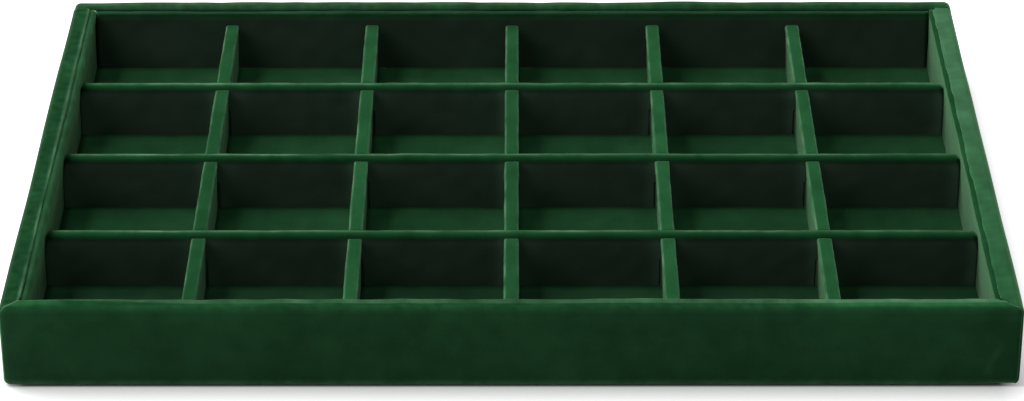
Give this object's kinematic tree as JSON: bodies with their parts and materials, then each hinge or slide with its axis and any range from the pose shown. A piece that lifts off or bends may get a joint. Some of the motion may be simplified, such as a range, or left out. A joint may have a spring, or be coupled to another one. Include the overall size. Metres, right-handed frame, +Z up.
{
  "type": "jewelry display tray",
  "caption": "Shallow rectangular display tray covered in velvet, with a drop-in egg-crate grid of dividers that parts it into open compartments for rings and small jewelry.",
  "frame": {"origin": "middle of the underside, in the plane that the tray rests on", "axes": "+X to the tray's right along its width, +Y to its back, +Z up; the front is at -Y"},
  "size_m": [0.35, 0.24, 0.031],
  "materials": {
    "velvet": "cut pile, matt with a sheen",
    "felt": "thin non-woven felt, matt",
    "fibreboard": "raw fibreboard",
    "card": "raw grey card",
    "brad_steel": "bright wire"
  },
  "bodies": {
    "tray": {"base_board": "fibreboard", "front_wall_board": "fibreboard", "back_wall_board": "fibreboard", "left_wall_board": "fibreboard", "right_wall_board": "fibreboard", "corner_brads": "brad_steel", "base_brads": "brad_steel", "front_velvet_wrap": "velvet", "back_velvet_wrap": "velvet", "left_velvet_wrap": "velvet", "right_velvet_wrap": "velvet", "underside_felt": "felt", "floor_pad_card": "card", "floor_pad_velvet": "velvet", "front_liner_card": "card", "back_liner_card": "card", "left_liner_card": "card", "right_liner_card": "card", "front_liner_velvet": "velvet", "back_liner_velvet": "velvet", "left_liner_velvet": "velvet", "right_liner_velvet": "velvet"},
    "divider_grid": {"column_divider_1_board": "fibreboard", "column_divider_2_board": "fibreboard", "column_divider_3_board": "fibreboard", "column_divider_4_board": "fibreboard", "column_divider_5_board": "fibreboard", "column_divider_1_velvet": "velvet", "column_divider_2_velvet": "velvet", "column_divider_3_velvet": "velvet", "column_divider_4_velvet": "velvet", "column_divider_5_velvet": "velvet"},
    "row_divider_1": {"row_divider_1_board": "fibreboard", "row_divider_1_velvet": "velvet"},
    "row_divider_2": {"row_divider_2_board": "fibreboard", "row_divider_2_velvet": "velvet"},
    "row_divider_3": {"row_divider_3_board": "fibreboard", "row_divider_3_velvet": "velvet"}
  },
  "joints": [
    {"name": "grid_lift", "type": "slide", "parent": "tray", "child": "divider_grid", "axis": [0, 0, 1], "range_m": [0, 0.03]},
    {"name": "row_1_lift", "type": "slide", "parent": "divider_grid", "child": "row_divider_1", "axis": [0, 0, 1], "range_m": [0, 0.03]},
    {"name": "row_2_lift", "type": "slide", "parent": "divider_grid", "child": "row_divider_2", "axis": [0, 0, 1], "range_m": [0, 0.03]},
    {"name": "row_3_lift", "type": "slide", "parent": "divider_grid", "child": "row_divider_3", "axis": [0, 0, 1], "range_m": [0, 0.03]}
  ]
}
